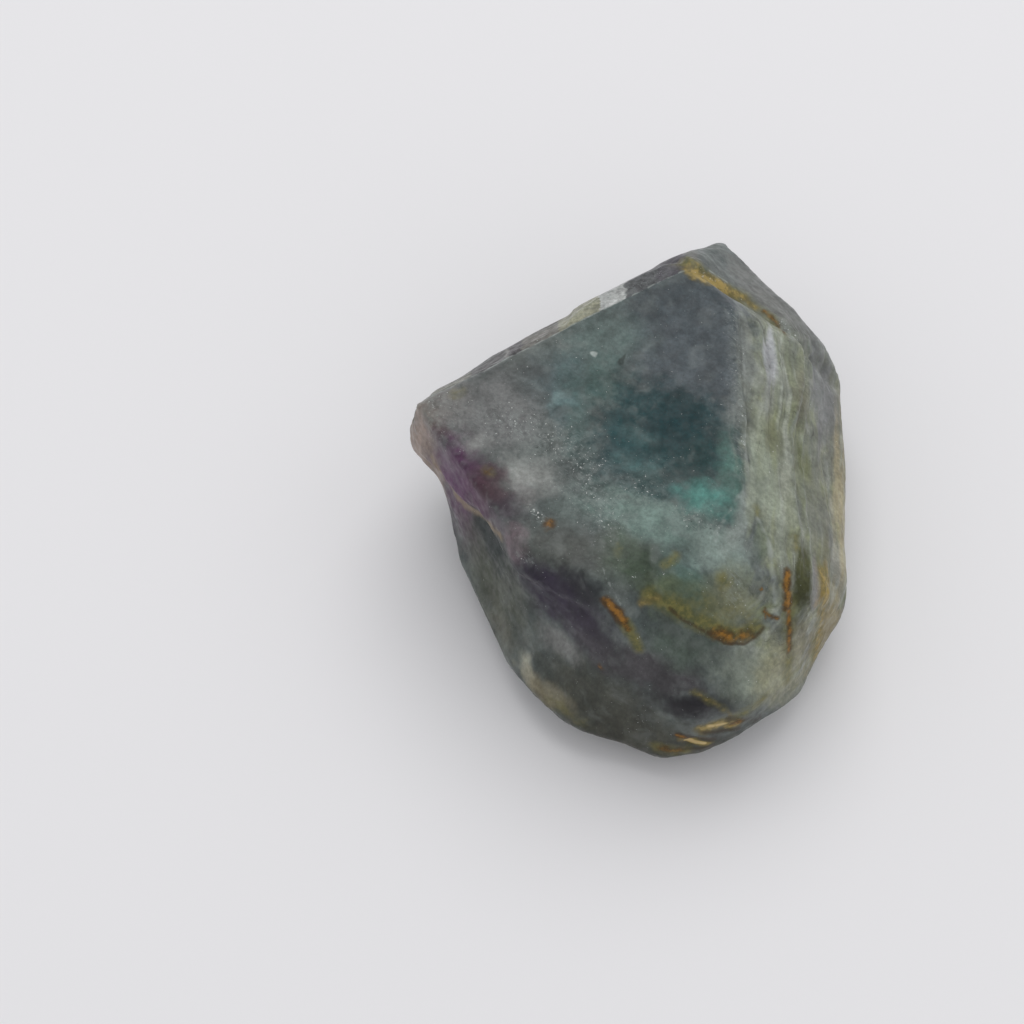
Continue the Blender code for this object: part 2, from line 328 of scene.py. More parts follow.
    # crowns and hollows of the finished skin, for the finish to read
    newPlace = scaleVector(tree, tree.nodes.new("GeometryNodeInputPosition").outputs[0], 1 / mm)
    newNormal = tree.nodes.new("GeometryNodeInputNormal").outputs[0]
    swell = proud(tree, newPlace, newNormal, crystal["swellBlur"])
    crowned = addNode(tree, "GeometryNodeStoreNamedAttribute", {"Geometry": shaped.outputs[0],
                      "Name": "swell", "Value": swell}, data_type="FLOAT", domain="POINT")
    smooth = addNode(tree, "GeometryNodeSetShadeSmooth", {"Geometry": crowned.outputs[0],
                     "Shade Smooth": True})
    real = addNode(tree, "GeometryNodeRealizeInstances", {"Geometry": smooth.outputs[0]})
    dressed = addNode(tree, "GeometryNodeSetMaterial", {"Geometry": real.outputs[0],
                      "Material": given["Material"]})
    tree.links.new(dressed.outputs[0], result.inputs[0])
    return tree


# A zone of colour: its middle and half sizes, its colour, its turn about Z in degrees, how soft its edge is
# and how much it covers. One that is under lies only on the wall below the tan rim.
def zone(at, reach, colour, turn=0, soft=1, cover=0.8, under=False):
    return {"at": at, "reach": reach, "colour": colour, "turn": turn, "soft": soft, "cover": cover,
            "under": under}


# A mark on the skin: its half width, its strength, and the points that it runs through.
def mark(width, strength, *line):
    return {"width": width, "strength": strength, "line": line}


# Later zones lie over earlier ones.
zones = {
    # the grey cap is partly the stone's grey and partly a painted sheen of the light on the main face
    "grey cap and painted sheen": zone((6, 8.5, 21), (7.5, 8.5, 6), (0.06, 0.074, 0.082), turn=-25, soft=0.5, cover=1),
    "cap shade": zone((3.5, 13, 21), (4.5, 3, 5), (0.04, 0.052, 0.058), turn=30, soft=0.9, cover=0.7),
    "left veil": zone((-12.5, 2.5, 20), (6, 5, 6), (0.134, 0.136, 0.134), turn=30, soft=0.8, cover=0.9),
    "tip": zone((-18.9, 2.2, 13), (3.2, 4.8, 8), (0.262, 0.2, 0.165), soft=0.7, cover=0.9),
    "tip, inside": zone((-16.6, 3.8, 19.6), (2.2, 3, 3), (0.158, 0.153, 0.146), soft=0.9),
    "teal left": zone((-2.6, 8.6, 21), (4.6, 3.4, 5), (0.085, 0.12, 0.111), turn=20, soft=0.9, cover=0.9),
    "blue shade": zone((-6.6, 5.6, 21), (3.2, 3, 5), (0.066, 0.098, 0.102), soft=0.9),
    "green glow": zone((-2.4, 5, 21), (2.6, 2.2, 5), (0.05, 0.092, 0.082)),
    "teal streak": zone((-4.9, 1.6, 21), (1.4, 5.6, 5), (0.056, 0.098, 0.092), turn=8, soft=0.9),
    "slate middle": zone((-0.8, -1.4, 21), (3, 4.2, 5), (0.02, 0.054, 0.058), turn=-10, soft=0.9,
        cover=1),
    "deep teal": zone((3.4, -0.2, 20), (7, 4.4, 6), (0.008, 0.04, 0.042), turn=-32, soft=0.7, cover=1),
    "deep teal core": zone((4.1, 0.9, 20), (5, 3.1, 6), (0.002, 0.026, 0.03), turn=-40, cover=1),
    "deep teal tail": zone((5.8, -3.2, 20), (2.2, 2.4, 6), (0.006, 0.034, 0.034), turn=-10, cover=1),
    "teal rim": zone((8.3, -4.4, 20), (1.1, 4.4, 5), (0.066, 0.14, 0.118), turn=4, soft=0.8, cover=0.9),
    "haze in the teal": zone((0.9, -0.5, 21), (1.7, 0.8, 4), (0.062, 0.116, 0.114), turn=-30, cover=0.45),
    "smoke in the teal": zone((0.6, -3.6, 21), (2.6, 1.1, 4), (0.066, 0.128, 0.124), turn=-35,
        cover=0.75),
    "milky foot": zone((1.6, -8.8, 20), (6.8, 2.8, 5), (0.135, 0.198, 0.173), turn=-20, soft=0.9,
        cover=0.95),
    "dark under teal": zone((2.4, -5.7, 21), (3.6, 1.5, 4), (0.033, 0.069, 0.067), turn=-25, soft=0.8,
        cover=1),
    "turquoise": zone((6.3, -6.8, 21), (2.2, 1.6, 4), (0.068, 0.2, 0.172), turn=-12, cover=1),
    "teal foot": zone((-0.4, -12.7, 21), (3.6, 2, 4), (0.041, 0.06, 0.038), turn=-10, soft=0.9,
        cover=0.95),
    "green shade": zone((-1.6, -10.8, 21), (2, 1.5, 3), (0.07, 0.094, 0.066), cover=0.75),
    "teal lobe": zone((4.4, -13.8, 21), (2.4, 1.6, 4), (0.07, 0.13, 0.115), turn=-20, cover=0.75),
    "lobe, left": zone((2.6, -14.8, 20.4), (1.8, 1.2, 2.6), (0.105, 0.128, 0.062), turn=-15),
    "pale foot": zone((7.4, -11.6, 20), (3.2, 2.6, 4), (0.212, 0.268, 0.24), turn=-20, soft=0.9,
        cover=0.85),
    "pale edge": zone((9.4, -7.8, 21), (1.1, 4.4, 4), (0.23, 0.262, 0.24), turn=-22, soft=0.8, cover=0.7),
    "dark mark": zone((-0.4, 7, 21), (0.35, 0.6, 3), (0.022, 0.032, 0.028), soft=0.6),
    "white mark": zone((-3, 7.4, 21), (0.35, 0.3, 3), (0.33, 0.37, 0.35), soft=0.6),
    "smoke, far left": zone((-8.6, 6.6, 21), (1, 1.8, 3), (0.06, 0.066, 0.066), turn=30, cover=0.6),
    "veil shade": zone((-9.9, 5.6, 20.6), (1.8, 1.6, 3), (0.082, 0.092, 0.09), turn=20, cover=0.7),
    "cloud, left": zone((-13.5, -0.4, 20), (1.3, 1.1, 4), (0.22, 0.225, 0.215), cover=0.7),
    "cloud, middle": zone((-8.9, -3.9, 20), (3, 1.8, 4), (0.245, 0.255, 0.24), turn=-25, cover=0.9),
    "cloud, edge": zone((-9.3, -5.9, 20.4), (1.1, 1.9, 3), (0.155, 0.153, 0.148), cover=0.85),
    "blue blot": zone((-6.4, 1.5, 21), (0.9, 1.3, 3), (0.038, 0.064, 0.068), cover=0.9),
    "blue light": zone((-6, 3, 21), (1.2, 0.8, 3), (0.12, 0.19, 0.19), cover=0.9),
    "purple edge": zone((-14.8, -3.8, 16), (5.6, 2.7, 9), (0.074, 0.031, 0.064), turn=-55, soft=0.7,
        cover=1),
    "purple heart": zone((-15.6, -2.4, 15), (2.6, 1.9, 6), (0.082, 0.028, 0.08), turn=-55),
    "purple, inside": zone((-12.2, -4.8, 20.2), (2.4, 1.6, 2.6), (0.06, 0.033, 0.04), turn=-50,
        soft=0.8, cover=0.85),
    "plum shade": zone((-11, -7.3, 20), (2.2, 1.5, 4), (0.06, 0.046, 0.058), turn=-50, soft=0.9),
    "lilac flake": zone((-10.2, -10.3, 19.4), (2, 1.1, 2.6), (0.2, 0.142, 0.165), turn=-55, soft=0.7,
        cover=0.9),
    "grey band": zone((-6.2, -7.8, 20.5), (1.6, 2, 3), (0.115, 0.143, 0.132), cover=0.7),
    "olive shoulder": zone((-6.4, -11.1, 20.4), (4.6, 2.5, 4), (0.064, 0.069, 0.062), turn=-20,
        soft=0.9, cover=0.95),
    "left wall": zone((-12.4, -9.6, 10.5), (4.6, 7.4, 7), (0.062, 0.07, 0.05), soft=0.8, cover=0.95,
        under=True),
    "left wall, dark": zone((-12.2, -7, 14.6), (2.2, 4.2, 4.4), (0.012, 0.02, 0.02), turn=20, soft=0.9,
        cover=0.95, under=True),
    "wall crumbs": zone((-11.7, -12.2, 6.2), (1.3, 2.6, 2.6), (0.125, 0.125, 0.098), turn=15,
        cover=0.6, under=True),
    "front wall": zone((-3, -19.5, 7), (7.5, 4, 6), (0.052, 0.055, 0.042), turn=-20, soft=0.8,
        cover=0.95),
    "front foot": zone((2.6, -21.8, 3.6), (9, 3.4, 5), (0.05, 0.05, 0.038), turn=-8, soft=0.8, cover=0.9),
    "purple band": zone((-6.4, -14.2, 17), (5.8, 2.7, 3.6), (0.022, 0.016, 0.032), turn=-32, soft=0.8,
        cover=1),
    "purple band, low": zone((-4.2, -16.4, 15), (3.8, 2, 2.3), (0.034, 0.027, 0.042), turn=-35,
        soft=0.8, cover=0.9),
    "purple band, front": zone((1, -19.4, 14), (7.2, 2.4, 2.5), (0.054, 0.05, 0.054), turn=-24,
        soft=0.8, cover=0.95),
    "black plum": zone((-4.4, -14.4, 20), (2.4, 1.2, 1.6), (0.007, 0.005, 0.011), turn=-20, soft=0.8,
        cover=0.6),
    "plum foot": zone((5.4, -21.8, 11), (4.2, 2, 1.9), (0.01, 0.008, 0.012), turn=-6, soft=0.8,
        cover=0.95),
    "cloud, wall": zone((-6.4, -16, 11.4), (2.6, 2, 1.6), (0.175, 0.178, 0.17), turn=-40, cover=0.85),
    "cloud, low": zone((-9.3, -16, 6), (1.3, 1.4, 1.8), (0.33, 0.33, 0.26), cover=0.9),
    "tan rim": zone((-7.8, -18, 5.6), (3, 1.4, 1.5), (0.205, 0.182, 0.118), turn=-40, cover=0.85),
    "lobe": zone((6, -15.2, 19), (5.2, 2.2, 4), (0.078, 0.104, 0.066), turn=-8, soft=0.9, cover=0.7),
    "lobe, right": zone((8.6, -14.8, 19), (2.8, 2.4, 4), (0.185, 0.195, 0.13), turn=-8, cover=0.85),
    "teal under the lobe": zone((4.8, -18.4, 16), (4.4, 1.9, 2.3), (0.068, 0.09, 0.072), turn=-20,
        soft=0.9, cover=0.85),
    "green foot": zone((11, -19, 12.5), (4, 3.6, 5), (0.205, 0.232, 0.19), soft=0.9, cover=0.9),
    "pale foot, right": zone((13, -18.6, 11.5), (2.6, 3, 5), (0.305, 0.3, 0.19)),
    "right fracture": zone((13.6, 0.5, 17), (4.6, 17.5, 9), (0.202, 0.219, 0.16), turn=2, soft=0.35,
        cover=0.95),
    "right side": zone((19, -1, 9), (3.6, 15, 9), (0.215, 0.215, 0.165), soft=0.7),
    "right front": zone((16.5, -15.5, 9), (4, 5.5, 7), (0.23, 0.225, 0.15), soft=0.8),
    "back block": zone((14, 17, 13), (6.5, 5.5, 8), (0.12, 0.125, 0.118), turn=-45, soft=0.5, cover=0.9),
    "back, purple": zone((-6, 14, 7), (5, 3.6, 3.2), (0.06, 0.045, 0.062), turn=25, soft=0.9, cover=0.7),
    "back, cloud": zone((4.5, 19.5, 8), (4, 3, 3), (0.17, 0.18, 0.165), turn=25, cover=0.6),
}
# The narrow cleavage behind the main face: where each bar of colour begins (X) and its colour.
stripBars = {
    "green crumbs": (-17.0, (0.135, 0.136, 0.108)),
    "dark bars": (-14.3, (0.058, 0.056, 0.056)),
    "gap": (-11.2, (0.150, 0.148, 0.138)),
    "dark bar": (-10.9, (0.054, 0.050, 0.053)),
    "brown grey": (-9.7, (0.115, 0.110, 0.096)),
    "yellow crumbs": (-6.4, (0.215, 0.215, 0.155)),
    "window": (-2.8, (0.335, 0.345, 0.335)),
    "dark grey": (-0.4, (0.082, 0.085, 0.088)),
    "purple grey": (2.4, (0.062, 0.058, 0.067)),
    "back grey": (5.0, (0.105, 0.108, 0.098)),
}
# These lie over the bands of the right fracture.
fractureZones = {
    "near the face": zone((9.6, 5.5, 21), (1.1, 8, 3), (0.175, 0.188, 0.172), soft=0.9, cover=0.6),
    "lilac band": zone((12.3, 8.2, 20.3), (0.6, 3.3, 3), (0.365, 0.375, 0.39), soft=0.7, cover=0.9),
    "lilac tail": zone((12, 4, 20.8), (0.6, 2.6, 3), (0.26, 0.27, 0.258), soft=0.9, cover=0.7),
    "shoulder": zone((17.6, 7.6, 13), (1.8, 5.2, 4), (0.185, 0.19, 0.192), soft=0.9, cover=0.85),
    "olive patch": zone((15.3, 5, 17.6), (1.1, 2.6, 3), (0.158, 0.156, 0.112), soft=0.9, cover=0.85),
    "pale middle": zone((11.6, -4.4, 20), (2.4, 5.4, 3), (0.262, 0.296, 0.232), turn=2, soft=0.9,
        cover=0.75),
    "grey middle": zone((16.2, -4, 15), (1.6, 5, 4), (0.172, 0.182, 0.15), turn=2, soft=0.9, cover=0.7),
    "pale streak": zone((13.4, -3.3, 18.4), (0.8, 2.4, 2.2), (0.262, 0.278, 0.232), soft=0.9, cover=0.7),
    "olive middle": zone((15.5, -0.8, 15.8), (0.8, 1.9, 2.6), (0.132, 0.146, 0.068), soft=0.9),
    "yellow middle": zone((12.4, 0.6, 19.4), (0.9, 2.2, 2.4), (0.185, 0.195, 0.115)),
    "ridge shade": zone((10.9, -10.6, 20.7), (0.6, 2.3, 2.2), (0.088, 0.112, 0.09), turn=-6, soft=0.8,
        cover=0.85),
    "olive, ridge": zone((11.3, -10.2, 20.9), (0.6, 1.6, 1.6), (0.138, 0.162, 0.108)),
    "dark green": zone((14.8, -12.2, 17.4), (1.3, 4, 4), (0.056, 0.06, 0.022), soft=0.8, cover=1),
    "olive right": zone((17.1, -9, 13.4), (1.1, 3, 3), (0.15, 0.152, 0.09), soft=0.9),
    "lilac strip": zone((16, -12, 15.5), (0.42, 2.7, 3), (0.23, 0.228, 0.222), soft=0.6, cover=0.85),
    "white rim": zone((18.6, -7.6, 10.6), (0.9, 2.6, 2.4), (0.29, 0.288, 0.252), cover=0.7),
    "tan rim": zone((19.2, -1.6, 10.1), (1, 7.6, 3.2), (0.355, 0.312, 0.192)),
    "right foot": zone((17.6, -13.4, 8), (2, 4, 5), (0.262, 0.218, 0.12), soft=0.9, cover=0.85),
    "below the vein": zone((14.6, -16.2, 12.5), (1.4, 2, 3), (0.172, 0.162, 0.105), soft=0.9, cover=0.7),
    "second vein glow": zone((17, -11.8, 14), (1.1, 2.1, 2), (0.3, 0.205, 0.06), cover=0.9),
}
# Each group of marks becomes an attribute of the skin, which the finish reads by its name.
marks = {
    # rust that has soaked into cracks
    "rust": {
        "seam thread": mark(0.34, 0.75, (12.2, 13.9, 17.6), (12.6, 13.4, 17.6), (13.4, 12.5, 17.4),
            (13.7, 11.9, 17.9), (13.9, 11.3, 18.4)),
        "front vein": mark(0.52, 1.3, (-2.4, -15.7, 20.1), (-1.9, -16.1, 19.8), (-1.3, -16.5, 19.3),
            (-1, -16.9, 18.8)),
        "front vein, end": mark(0.34, 0.9, (-1, -16.9, 18.8), (-0.6, -17.4, 18.2)),
        "lobe rim": mark(0.66, 0.95, (6.9, -17.2, 17), (7.5, -17.3, 16.8), (8.6, -17.4, 16.2),
            (9.9, -17.2, 16)),
        "lobe cross": mark(0.16, 0.8, (11.5, -15.9, 16.8), (11.4, -15.2, 17.5)),
        "lobe arm": mark(0.24, 0.9, (11.3, -15.4, 17.3), (11.9, -15.7, 16.9), (12.6, -15.8, 16.5)),
        "lobe dot": mark(0.2, 1, (11, -13.8, 18.8), (11.1, -13.9, 18.7)),
        "right vein": mark(0.5, 1.2, (13.4, -12.5, 19), (13.4, -13.7, 18.1), (13.5, -14.8, 16.9)),
        "right vein, low": mark(0.36, 1, (13.5, -14.8, 16.9), (13.6, -15.5, 15.6), (13.7, -17.2, 12.6)),
        "round spot": mark(0.52, 1.2, (-7.35, -8.6, 20.8), (-7.25, -8.6, 20.8)),
        "tip spot": mark(0.36, 0.8, (-12.7, -3.3, 20.2), (-12.6, -3.4, 20.2)),
        "upper pit": mark(0.4, 0.95, (9, -22.2, 7.6), (9.7, -22, 7.8)),
        "lower pit": mark(0.3, 1, (4, -23, 6.8), (5, -22.8, 6.3)),
        "foot dot": mark(0.36, 0.7, (-2.9, -18.7, 12.8), (-2.8, -18.8, 12.6)),
        "foot": mark(0.5, 0.8, (2.8, -23.2, 4.5), (4.4, -23.3, 4.5)),
    },
    # ochre that lies thicker, in the seam and the pits
    "ochre": {
        "seam": mark(0.86, 1.2, (5.6, 15.9, 21.3), (6.6, 15.2, 21.3), (7.6, 15.4, 20.2),
            (8.6, 15.2, 19.5)),
        "seam, low": mark(0.55, 0.9, (8.6, 15.2, 19.5), (9.6, 15.1, 18.7), (10.4, 15, 18)),
        "seam spot": mark(0.5, 0.75, (10.8, 14.8, 17.8), (11.3, 14.3, 17.6)),
        "lobe patch": mark(0.55, 0.7, (0.7, -15.7, 19.8), (1.8, -15.3, 20)),
        "second vein": mark(0.62, 1.1, (16.9, -10.6, 14.6), (17, -11.2, 14.5), (17, -12.2, 14),
            (17, -12.9, 13.3)),
        "second vein, low": mark(0.8, 0.75, (17, -13, 13), (17, -13.7, 10.1), (16.7, -14.8, 6)),
        "upper pit": mark(0.85, 1.15, (6.3, -22.6, 7.8), (7.3, -22.5, 8.2), (8.2, -22.3, 7.9),
            (9.1, -22.2, 7.6)),
        "lower pit": mark(0.45, 0.8, (4.5, -23, 6.2), (5.7, -22.9, 5.3), (7, -23, 5)),
        "plum brim": mark(0.3, 0.45, (5.3, -21.2, 13), (6.6, -21.6, 12.1), (7.7, -21.9, 11.1),
            (8.9, -22, 9.1)),
    },
    # painted shadow: the crisp dark line along the lower side of the lobe, beside the front vein and in the
    # pits
    "dark": {
        "lobe": mark(0.2, 0.9, (3, -16, 19.5), (4.1, -16.7, 18.6), (5.4, -17.1, 17.9),
            (6.9, -17.5, 16.8), (8, -17.9, 16.1), (9.7, -17.8, 15.5), (10.6, -17.2, 15.7),
            (11.3, -16.5, 16.2)),
        "front vein": mark(0.35, 0.8, (-2.8, -15.6, 20.1), (-2, -16.3, 19.4), (-1.2, -17.1, 18.4)),
        "upper pit": mark(0.4, 0.9, (6.2, -22.7, 7.2), (7.6, -22.4, 6.8), (9.4, -22.1, 6.4)),
        "upper pit, far": mark(0.25, 0.9, (8.4, -22.2, 9), (9.9, -22, 8.2)),
        "lower pit": mark(0.4, 1.3, (4.2, -23, 6.9), (5.8, -22.8, 6.1), (7.2, -23, 5.6)),
        "lower pit, under": mark(0.3, 0.9, (4.8, -23.2, 4.6), (7.2, -23, 4.4)),
        "foot": mark(1, 0.6, (8.9, -22, 8.6), (10.1, -21.8, 7.7), (11.3, -21, 5.8)),
    },
    # yellow and olive stains around the rust
    "stain": {
        "seam": mark(1.1, 0.9, (4.8, 17.1, 21.2), (6.4, 16, 21), (8.5, 15.2, 19.5), (10.3, 15.1, 18.1)),
        "seam thread": mark(0.7, 0.7, (10.3, 15, 18.1), (11.2, 14.4, 17.6), (12.6, 13.4, 17.6),
            (13.9, 11.3, 18.4)),
        "lobe rim": mark(0.85, 1.2, (1.4, -15.2, 20.1), (3, -15.7, 19.8), (4, -16.2, 19.1),
            (5.3, -16.6, 18.4), (6.8, -16.9, 17.5), (7.9, -17.2, 16.8), (9.6, -17.1, 16.3),
            (10.6, -16.6, 16.4)),
        "inside the rim": mark(1.5, 0.5, (4.6, -15.4, 19.4), (7.4, -15.8, 18.4), (9.6, -15.6, 17.8)),
        "foot spot": mark(0.5, 0.6, (-1.5, -11.2, 21.4), (-1.4, -11.7, 21.4)),
        "foot streak": mark(0.5, 0.9, (2.6, -12.8, 21.3), (3.2, -12.3, 21.4), (3.6, -11.9, 21.4)),
        "on the lobe": mark(0.7, 0.9, (7.6, -13.2, 20.3), (7.8, -13.8, 19.9)),
        "face corner": mark(0.5, 0.6, (10.8, -7.2, 21.1), (10.8, -7.8, 21)),
        "ridge": mark(0.5, 0.8, (14.3, -8.9, 18.8), (14.4, -9.8, 18.6)),
        "right vein": mark(0.8, 0.75, (13.4, -13.2, 18.6), (13.6, -15.5, 15.6), (13.7, -17.4, 12.2),
            (13.9, -18.4, 8.9)),
        "second vein": mark(1, 0.85, (16.9, -10.2, 14.5), (16.7, -13.1, 13.4), (16.5, -15, 6.5)),
        "left foot": mark(1, 0.45, (-7, -18.8, 5.4), (-4.2, -21, 5)),
        "front vein, tail": mark(0.6, 1.1, (-0.9, -17, 18.6), (-0.1, -18, 17.5), (0.3, -18.5, 16.6)),
        "tip spot": mark(0.55, 0.7, (-12.8, -3.2, 20.2), (-12.5, -3.4, 20.2)),
        "far spot": mark(0.7, 0.6, (-15.6, 4.6, 19.8), (-15.3, 4.7, 19.8)),
        "plum brim": mark(0.45, 0.6, (5.3, -21.2, 13), (7.7, -21.9, 11.1), (8.9, -22, 9.1)),
        "foot": mark(0.8, 0.8, (2.4, -23, 4.4), (4.8, -23.3, 4.4)),
        "pits": mark(0.9, 0.8, (6.4, -22.6, 7.6), (8.6, -22.1, 8.6), (11.4, -20.6, 9.8)),
    },
    # the tan rim of the bevel at the left tip
    "rim": {
        "left rim": mark(0.62, 1, (-17.7, 0.5, 14.8), (-17, -0.6, 14), (-16.2, -1.1, 12.4),
            (-15.6, -1.9, 12.2), (-14.3, -3.8, 13.6), (-13, -5.6, 15.2), (-12.1, -7.4, 17.2),
            (-11.6, -8.5, 18)),
    },
    # thin pale cracks and worn edges
    "pale": {
        "foot crack": mark(0.1, 0.65, (-3, -12.1, 21.3), (-2.6, -13.6, 21.2), (-1.9, -14.9, 20.8),
            (-1.2, -15.9, 19.9)),
        "face corner": mark(0.26, 0.6, (9, -6.6, 22.1), (8.1, -8.2, 21.8), (7.2, -9.5, 21.6),
            (7, -10.6, 21.3)),
        "fracture edge": mark(0.3, 0.5, (9.4, 13.5, 20.4), (9.8, 10.1, 21.2), (9.9, 3.2, 21.4),
            (9.8, -1, 21.8), (9.6, -4.5, 21.5), (9.2, -7, 22.1)),
        "ridge": mark(0.32, 0.7, (10.8, -8.2, 21.1), (11.7, -10.1, 20.7), (12, -12.3, 19.8),
            (12.3, -14.8, 17.7)),
        "seam, far side": mark(0.2, 0.9, (7, 16.5, 20), (8, 16.3, 19.2), (9.2, 15.9, 18.4)),
    },
    # bare cream spots in the two pits at the front foot
    "cream": {
        "upper": mark(0.45, 0.9, (6.9, -22.5, 8.2), (8.2, -22.3, 7.9)),
        "lower": mark(0.2, 1.1, (4.8, -22.9, 5.8), (5.7, -22.9, 5.2), (6.6, -23, 5.1)),
    },
    # bands of tiny white breaks under the skin, and where its crumbs lie thickest
    "breaks": {
        "veil": mark(1.9, 1, (-11.5, 1.6, 20.6), (-8, -0.2, 20.8), (-5.1, -1.7, 21.1),
            (-3.7, -5.2, 21.2), (-2.2, -8.4, 21.3)),
        "teal foot": mark(1.2, 0.7, (-1, -5.2, 21.2), (1.6, -6, 21.4)),
        "turquoise foot": mark(0.9, 0.9, (4.4, -8.6, 21.5), (7, -9.2, 21.6)),
        "fracture edge": mark(0.9, 0.9, (9.2, 12, 21.8), (9.6, 3, 21.8), (9.6, -4, 21.8)),
        "far edge": mark(0.6, 1.1, (-16.5, 6.6, 18.8), (-8, 11, 20.2), (3, 16.6, 21.4)),
        "tip": mark(2.2, 0.8, (-17.5, 4.5, 18), (-16.5, 2, 18.6)),
        "white stroke": mark(0.3, 2.2, (-8.9, -6.8, 20.6), (-8.5, -7.6, 20.6), (-8, -8.1, 20.7)),
        "flake": mark(0.6, 1.2, (-10, -10.9, 19), (-9, -11.3, 19.3)),
        "seam, upper": mark(0.6, 1.6, (6.2, 15.6, 21.2), (7.6, 15.8, 20.2)),
        "seam crumbs": mark(0.7, 1.4, (13.6, 12.8, 17.1), (15.2, 11.6, 16.6)),
        "lobe crumbs": mark(0.8, 1, (8.6, -13.4, 20), (9, -15.4, 18.4)),
        "edge crumb": mark(0.4, 2, (9.6, -1, 21.9), (9.8, -1.6, 21.9)),
    },
}
finish = {
    "ballSize": 4,
    "drawnDown": (1.0, 1.0, 0.45),           # crumbs and clouds are drawn out down the steep sides
    "markDepth": 0.4,                        # how far off the skin a mark may lie and still show in full
    "markReach": 1.6,                        # where a mark has faded out, in its own widths
    "rimPlane": (0.0, 0.8, 1.0),             # a slanting plane through the tan rim, which ends the wall,
    "rimHeight": (11.9, 11.3),               # and how high it lies
    "paleMineral": (0.112, 0.128, 0.120),
    "darkMineral": (0.070, 0.086, 0.082),
    "milk": (0.270, 0.300, 0.285),
    "rustBright": (0.300, 0.135, 0.016),
    "rustDeep": (0.075, 0.038, 0.008),
    # a brown for the painted shadow lines
    "paintedShadowBrown": (0.040, 0.024, 0.010),
    "ochreBright": (0.360, 0.265, 0.085),
    "ochreDeep": (0.150, 0.120, 0.042),
    "stainYellow": (0.185, 0.165, 0.045),
    "stainOlive": (0.090, 0.092, 0.028),
    "rimTan": (0.240, 0.185, 0.120),
    "cream": (0.560, 0.430, 0.210),
    # white crumbs and painted glints
    "threadPale": (0.360, 0.390, 0.370),
    "whiteSpeckAndGlint": (0.62, 0.64, 0.62),
    "darkSpeck": (0.020, 0.026, 0.024),
    "bandPale": (0.315, 0.335, 0.298),
    "bandGreen": (0.208, 0.230, 0.112),
    "bandGrey": (0.120, 0.135, 0.128),
    "crackDark": (0.055, 0.060, 0.046),
    "dirtAndShade": (0.045, 0.046, 0.034),
    "grain": (0, 15, -36),                   # degrees; the way that the inner streaks run
    "roughness": (0.30, 0.54),
    "refraction": 1.434,
    "gloss": 0.28,
    "glow": 0.3,                             # share of light that soaks in and comes out again
    "glowReach": (0.8, 1.0, 0.95),
    "glowDepth": 1.2,
    "frostAndHighlight": 0.30,                           # how much worn crowns whiten, as frost and painted highlight, and how much painted shade and a little dirt darken the hollows
    "dirtAndShadeCover": 0.25,                       # and how much dirt hides in the hollows
    "clouds": (0.79, 1.22),                  # the darkest and lightest shade of the clouds inside,
    "innerStreaks": (0.92, 1.08),            # of the fine streaks,
    "sugar": (0.84, 1.17),                   # of the sugary grain,
    "threads": (0.90, 1.08),                 # and of the threads in the right fracture
    "veil": 0.16,                            # how much the whitish veils hide,
    "crumbVeil": 0.24,                       # the veils where crumbs lie,
    "scratches": 0.5,                        # and the scratches in them
    "bandsLeft": (9.0, 10.8),                # where the bands of the right fracture set in along X,
    "bandsFront": (-21.0, -15.0),            # and along Y, at the front
    "bandsBack": (14.0, 11.0),               # and at the back
    "greenFade": (9.0, 1.0, 0.35, 1.0),      # between these Y the green ones fade to a third
    "crackCover": 0.55,
    "bumpSize": 2.6,
    "bumpStrength": 0.16,
    "bumpHeight": 0.08,
}
# The bands of the right fracture: how long and how wide they are, their seed, where they set in, and how
# much they hide.
fractureBands = {
    "bandGrey": {"size": (8.0, 2.2), "seed": 13, "edge": (0.48, 0.64), "cover": 0.5},
    "bandGreen": {"size": (5.0, 1.5), "seed": 31, "edge": (0.50, 0.66), "cover": 0.55},
    "bandPale": {"size": (9.0, 1.3), "seed": 47, "edge": (0.50, 0.68), "cover": 0.6},
}
# Specks: how fine they are, how high in the noise they begin and are full, how much they hide, and which of
# the finish's colours they have.
speckKinds = {
    # the fine and coarse ones are white crumbs and painted glints
    "fine": {"fineness": 5.2, "edge": (0.72, 0.80), "cover": 0.85, "tone": "whiteSpeckAndGlint"},
    "coarse": {"fineness": 2.2, "edge": (0.78, 0.86), "cover": 0.6, "tone": "whiteSpeckAndGlint"},
    "dark": {"fineness": 3.4, "edge": (0.73, 0.80), "cover": 0.6, "tone": "darkSpeck"},
}
# The stains, crusts and painted shadow lines: how fine and how strong the tear of a mark's edge is, between
# which strengths of the mark it sets in, and how much it hides.
coats = {
    "stain": {"tear": (0.9, 0.9), "edge": (0.0, 1.1), "cover": 0.85},
    "ochre": {"tear": (1.3, 1.2), "edge": (0.05, 0.90), "cover": 0.85},
    "dark": {"tear": (1.1, 0.9), "edge": (0.10, 0.85), "cover": 0.7},
    "rust": {"tear": (1.3, 1.2), "edge": (0.05, 0.95), "cover": 0.9},
    "rim": {"tear": (1.0, 1.3), "edge": (0.15, 1.05), "cover": 0.8},
    "pale": {"tear": (1.0, 1.2), "edge": (0.25, 0.85), "cover": 0.5},
}


